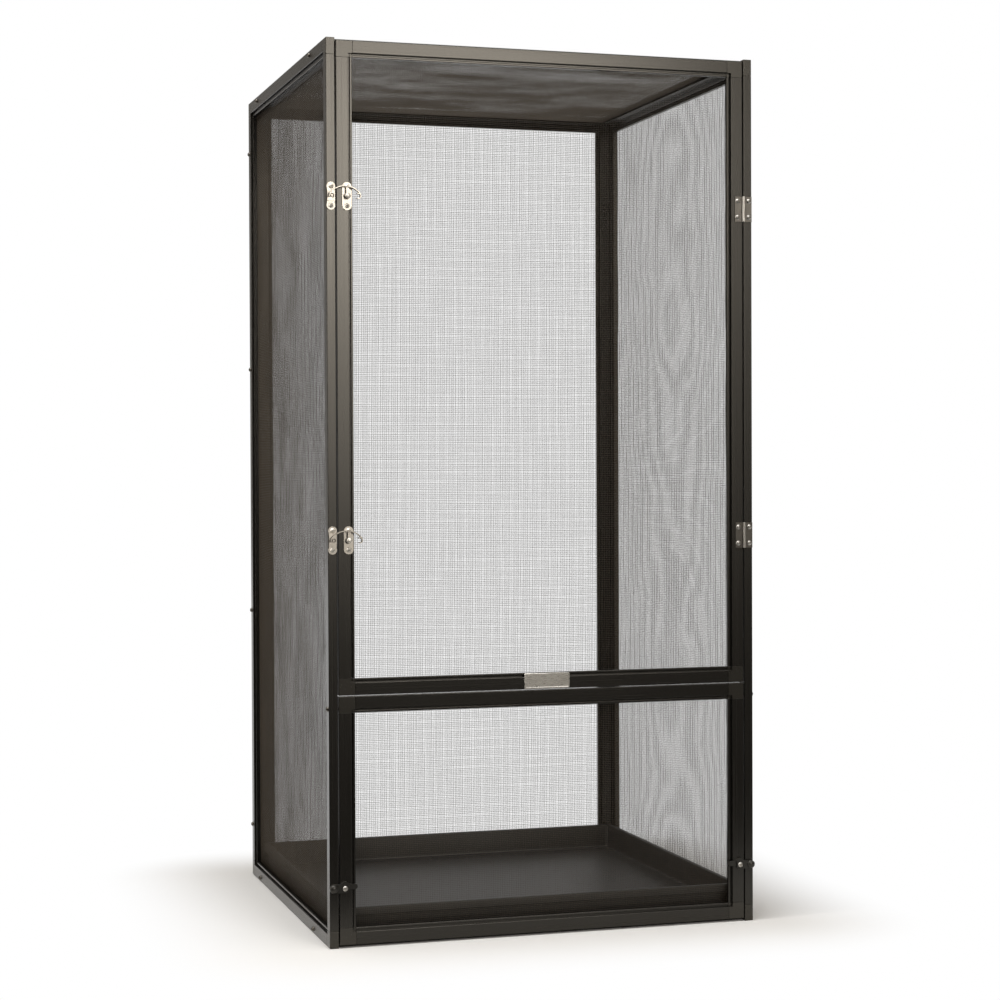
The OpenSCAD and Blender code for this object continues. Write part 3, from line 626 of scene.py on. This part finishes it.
CLOTH_TREE, CLOTH_INPUTS = wire_cloth_tree()
print("wire cloth tree with", len(CLOTH_TREE.nodes), "nodes")

# %% [markdown]
# A tree works on an object through a modifier. The result is turned into a plain mesh, and the object that
# carried the modifier is thrown away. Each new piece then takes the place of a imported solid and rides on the
# body that carries it: a door is a body of its own, and the other panels belong to the cage.

# %% Plain pieces and their places
DOORS = ["upper_door", "lower_door"]


def plain_mesh(name, tree, identifiers, values):
    """Runs a Geometry Nodes tree with its inputs set by identifier and returns the result as an object."""
    maker = bpy.data.objects.new("maker", bpy.data.meshes.new("maker"))
    scene.collection.objects.link(maker)
    modifier = maker.modifiers.new("nodes", "NODES")
    modifier.node_group = tree
    for key, value in values.items():
        modifier[identifiers[key]] = value
    made = bpy.data.meshes.new_from_object(maker.evaluated_get(bpy.context.evaluated_depsgraph_get()))
    maker.modifiers.remove(modifier)
    bpy.data.objects.remove(maker)
    made.name = name
    piece = bpy.data.objects.new(name, made)
    scene.collection.objects.link(piece)
    return piece


def body_of(panel):
    """Name of the body that carries a panel."""
    return panel if panel in DOORS else "cage"


def take_place(piece, node, slot, body):
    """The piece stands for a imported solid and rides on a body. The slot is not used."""
    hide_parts(node)
    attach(piece, body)


print("bodies of the panels:", sorted({body_of(panel) for panel in PANELS}))

# %% [markdown]
# Each panel is drawn upright with its outside towards -y, as it would stand on a bench, and then turned to
# its place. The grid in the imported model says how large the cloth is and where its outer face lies. The
# cloth of the top ripples most, because it hangs level.

# %% Wire cloth of every panel
# Turn from the bench about x and z in degrees, slope out of square, ripple in millimetres
CLOTHS = {
    "left_panel": (0, -90, 0.006, 1.6),
    "right_panel": (0, 90, -0.016, 2.4),
    "back_panel": (0, 180, 0.003, 1.2),
    "top_panel": (-90, 0, 0.012, 3.2),
    "bottom_panel": (90, 0, 0.005, 2.0),
    "upper_door": (0, 0, -0.003, 1.2),
    "lower_door": (0, 0, 0.004, 0.8),
}
STRAND = Vector((WIRE_W / 2, WIRE_DEPTH / 2, 1))

for panel, (about_x, about_z, skew, ripple) in CLOTHS.items():
    turn = Euler((math.radians(about_x), 0, math.radians(about_z)))
    low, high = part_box(panel + "_mesh")
    width, thickness, height = (abs((turn.to_matrix() @ Vector(axis)).dot(high - low))
                                for axis in ((1, 0, 0), (0, 1, 0), (0, 0, 1)))
    outside = (low + high) / 2 - turn.to_matrix() @ Vector((0, thickness / 2, 0))
    cloth = plain_mesh(panel + "_wire_cloth", CLOTH_TREE, CLOTH_INPUTS, {
        "Width": width, "Height": height, "Pitch": WIRE_PITCH, "Strand": STRAND, "Skew": skew,
        "Ripple": ripple * MM, "Centre": outside, "Turn": Vector(turn), "Finish": WIRE})
    take_place(cloth, panel + "_mesh", "mesh", body_of(panel))
    print(cloth.name, round(width, 3), "x", round(height, 3), "m,", len(cloth.data.polygons), "faces")

# %% [markdown]
# ## The tray and the plate
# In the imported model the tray's rim and walls have sharp edges, and the plate is flat. In life both have
# soft edges, and the plate a raised border. Each is drawn as a stack of rounded rectangles: a profile lists
# how far each ring is drawn in and how high it lies, and neighbouring rings are joined by faces. The rings
# at both ends are closed, so the piece is watertight.

# %% Pieces from rings
SHARP_ANGLE = math.radians(20)
SMOOTH_CORNERS = 4
CORNER_STEPS = 6
TIGHTEST = 0.6


def piece_of(name, solid, finish, smoothest=SMOOTH_CORNERS):
    """Object of a bmesh, its faces outward; faces with more corners than the smoothest are left flat."""
    bmesh.ops.recalc_face_normals(solid, faces=solid.faces)
    made = bpy.data.meshes.new(name)
    solid.to_mesh(made)
    solid.free()
    made.set_sharp_from_angle(angle=SHARP_ANGLE)
    for face in made.polygons:
        face.use_smooth = len(face.vertices) <= smoothest
    made.materials.append(finish)
    piece = bpy.data.objects.new(name, made)
    scene.collection.objects.link(piece)
    return piece


def ringed(name, size, radius, profile, place, finish):
    """Closed piece of rounded rectangles, in millimetres; the profile lists each ring's inset and level."""
    solid = bmesh.new()
    rings = []
    for inset, level in profile:
        bend = max(radius - inset, TIGHTEST)
        ring = []
        for side_x, side_y, turn in ((1, 1, 0), (-1, 1, 90), (-1, -1, 180), (1, -1, 270)):
            for step in range(CORNER_STEPS + 1):
                angle = math.radians(turn + 90 * step / CORNER_STEPS)
                x = side_x * (size[0] / 2 - inset - bend) + bend * math.cos(angle)
                y = side_y * (size[1] / 2 - inset - bend) + bend * math.sin(angle)
                ring.append(solid.verts.new(place @ (Vector((x, y, level)) * MM)))
        rings.append(ring)
    for ring, following in zip(rings, rings[1:]):
        for i in range(len(ring)):
            solid.faces.new((ring[i - 1], ring[i], following[i], following[i - 1]))
    solid.faces.new(rings[0])
    solid.faces.new(rings[-1])
    return piece_of(name, solid, finish)


print("each ring has", 4 * (CORNER_STEPS + 1), "corners")

# %% Tray
TRAY_CORNER_R = 14
# Inset and height of each ring: floor, inner wall, rim, skirt, outer wall, base
TRAY_PROFILE = [(12, 2.5), (9.8, 3.3), (8.9, 5.5), (8.2, 36), (7.7, 37.5), (6.6, 38), (1.5, 38), (0.4, 37.5),
                (0, 36.4), (0, 27.5), (0.4, 27), (2.1, 27), (2.5, 27.5), (2.5, 34.8), (3, 35.4), (5.2, 35.4),
                (5.8, 34.6), (6.5, 3), (7.6, 0.7), (10, 0)]

low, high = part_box("litter_tray")
under_tray = Matrix.Translation(((low.x + high.x) / 2, (low.y + high.y) / 2, low.z))
tray = ringed("moulded_tray", (high - low) / MM, TRAY_CORNER_R, TRAY_PROFILE, under_tray, TRAY_PLASTIC)
take_place(tray, "litter_tray", "tray_plastic", "tray")
print(tray.name, len(tray.data.polygons), "faces")

# %% Plate
PLATE_CORNER_R = 2
# The levels grow towards the front: edge, raised border, sunken field
PLATE_PROFILE = [(0, 0), (0, 1.1), (0.5, 1.6), (1.7, 1.6), (2.2, 1.1)]

low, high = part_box("blank_plate")
plate_back = Matrix.Translation(((low.x + high.x) / 2, high.y, (low.z + high.z) / 2))
on_edge = Matrix.Rotation(math.pi / 2, 4, "X")
plate = ringed("bordered_plate", ((high - low).x / MM, (high - low).z / MM), PLATE_CORNER_R, PLATE_PROFILE,
               plate_back @ on_edge, SATIN_PLATE)
take_place(plate, "blank_plate", "plate_metal", "upper_door")
print(plate.name, len(plate.data.polygons), "faces")

# %% [markdown]
# ## Soft edges
# Stamped plates, extruded bars and moulded pieces never have a knife edge, and the thin bright line along an
# edge is what tells metal from paper. So each of them is copied from the imported model, the corners of its
# triangles are merged, its keen edges are rounded by a fraction of a millimetre, and the copy takes the
# solid's place. Two pieces have a second metal, found by the distance of their faces from an axis: the latch
# plates' studs take the paler nickel, a painted highlight, and the hinges' barrels take the brighter steel,
# partly a painted highlight.

# %% Copies with soft edges
MERGE = 0.002 * MM
FLAT_ANGLE = math.radians(0.5)
KEEN_ANGLE = math.radians(50)
BEVEL_STEPS = 2
ROUND = 0.5


def copy_of(node):
    """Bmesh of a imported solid, with the corners of its loose triangles merged."""
    solid = bmesh.new()
    solid.from_mesh(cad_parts[node].data)
    bmesh.ops.remove_doubles(solid, verts=solid.verts, dist=MERGE)
    return solid


def softened(node, edge):
    """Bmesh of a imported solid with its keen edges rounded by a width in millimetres."""
    solid = copy_of(node)
    bmesh.ops.dissolve_limit(solid, angle_limit=FLAT_ANGLE, verts=solid.verts, edges=solid.edges)
    keen = [e for e in solid.edges if e.is_manifold and e.is_convex and e.calc_face_angle() > KEEN_ANGLE]
    bmesh.ops.bevel(solid, geom=keen, offset=edge * MM, offset_type="OFFSET", segments=BEVEL_STEPS,
                    profile=ROUND, affect="EDGES", clamp_overlap=True)
    return solid


def from_middle(solid):
    """Each face of a bmesh, and how far it lies aside, up and back from the middle of its island's front."""
    left = set(solid.faces)
    while left:
        island, rim = set(), {left.pop()}
        while rim:
            face = rim.pop()
            island.add(face)
            near = {other for side in face.edges for other in side.link_faces if other in left}
            left -= near
            rim |= near
        corners = [corner.co for face in island for corner in face.verts]
        low, high = (Vector(pick(c[i] for c in corners) for i in range(3)) for pick in (min, max))
        for face in island:
            spot = face.calc_center_median()
            away = spot - (low + high) / 2
            yield face, abs(away.x), abs(away.z), spot.y - low.y


print("edges sharper than", round(math.degrees(KEEN_ANGLE)), "degrees are rounded")

# %% [markdown]
# The list of soft pieces starts with the hardware. The bars and corner pieces of each panel follow. A bar's
# paint has its lines along the bar, so it depends on the way the bar runs. Most stiles run along z and most
# rails along x, and the level panels and the side panels have one pair each that runs along y.

# %% List of the soft pieces
STILE_AXIS = {"top_panel": 1, "bottom_panel": 1}
RAIL_AXIS = {"left_panel": 1, "right_panel": 1}
# The two doors meet with a hair's gap, so their edges are kept tighter than those of the box
BOX_EDGE = 0.25
DOOR_EDGE = 0.1
# Width of the rounding in millimetres, finish, slot, body
SOFT_PIECES = {
    "latch_keepers": (0.3, NICKEL, "latch_nickel", "cage"),
    "latch_bases": (0.3, NICKEL, "latch_nickel", "upper_door"),
    "upper_latch_arm": (0.25, NICKEL, "latch_nickel", "upper_latch"),
    "lower_latch_arm": (0.25, NICKEL, "latch_nickel", "lower_latch"),
    "hinge_post_leaves": (0.25, ZINC, "hinge_steel", "cage"),
    "hinge_door_leaves": (0.25, ZINC, "hinge_steel", "upper_door"),
    "left_turn_clip": (0.7, CLIP_NYLON, "clip_plastic", "left_clip"),
    "right_turn_clip": (0.7, CLIP_NYLON, "clip_plastic", "right_clip"),
}
for panel in PANELS:
    edge = DOOR_EDGE if panel in DOORS else BOX_EDGE
    SOFT_PIECES[panel + "_stiles"] = (edge, BAR_PAINT[STILE_AXIS.get(panel, 2)], "bar", body_of(panel))
    SOFT_PIECES[panel + "_rails"] = (edge, BAR_PAINT[RAIL_AXIS.get(panel, 0)], "bar", body_of(panel))
    SOFT_PIECES[panel + "_corners"] = (edge, CORNER_NYLON, "corner", body_of(panel))
print(len(SOFT_PIECES), "pieces get soft edges")

# %% Soft pieces
BARREL_R = 2.3 * MM
STUD_R = 4.8 * MM
STUD_H = 2.65 * MM
ALL_FLAT = 0
low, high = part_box("hinge_pins")
PIN_AXIS = ((low + high) / 2).xy

for name, (edge, finish, slot, body) in SOFT_PIECES.items():
    solid = softened(name, edge)
    # The stud of each latch base takes the paler nickel, a painted highlight on the rounded stud
    if name == "latch_bases":
        for face, aside, up, back in from_middle(solid):
            face.material_index = math.hypot(aside, up) < STUD_R and back < STUD_H
    smoothest = ALL_FLAT if slot in ("bar", "corner") else SMOOTH_CORNERS
    soft = piece_of("soft_" + name, solid, finish, smoothest)
    if name == "latch_bases":
        soft.data.materials.append(NICKEL_PAINTED_BRIGHT)
    # The barrels take the brighter steel: a brighter metal, and partly a painted highlight along the rounded
    # barrel
    if finish == ZINC:
        soft.data.materials.append(STEEL)
        for face in soft.data.polygons:
            face.material_index = (face.center.xy - PIN_AXIS).length < BARREL_R
    take_place(soft, name, slot, body)
    print(soft.name, len(soft.data.polygons), "faces")

# %% [markdown]
# ## Small screws
# The heads of the small screws are bright metal, and the latch screws have the nickel that is painted bright,
# a painted highlight. The cross punched into each head is painted darker, as painted shade in the recess. Each
# screw is one island of the copied mesh, so its axis is the middle of the island, and the faces that lie
# within the cross about that axis are the recess.

# %% Small screws with painted shade in their crosses
CROSS_HALF = 2.1 * MM
SLOT_HALF = 0.55 * MM
CROSS_DEPTH = 1.2 * MM
# The latch screws take the nickel that is painted bright, a painted highlight on their heads
# Finish, slot, body
SMALL_SCREWS = {
    "latch_keeper_screws": (NICKEL_PAINTED_BRIGHT, "latch_nickel", "cage"),
    "latch_base_screws": (NICKEL_PAINTED_BRIGHT, "latch_nickel", "upper_door"),
    "hinge_post_screws": (STEEL, "hinge_steel", "cage"),
    "hinge_door_screws": (STEEL, "hinge_steel", "upper_door"),
    "turn_clip_screws": (STEEL, "hinge_steel", "lower_door"),
}
for name, (finish, slot, body) in SMALL_SCREWS.items():
    solid = copy_of(name)
    for face, aside, up, back in from_middle(solid):
        # The faces in the cross take the darker metal, painted shade in the recess
        in_cross = max(aside, up) < CROSS_HALF and min(aside, up) < SLOT_HALF
        face.material_index = in_cross and back < CROSS_DEPTH
    screws = piece_of("shaded_cross_" + name, solid, finish)
    screws.data.materials.append(CROSS_SHADE)
    take_place(screws, name, slot, body)
    print(screws.name, len(screws.data.polygons), "faces")
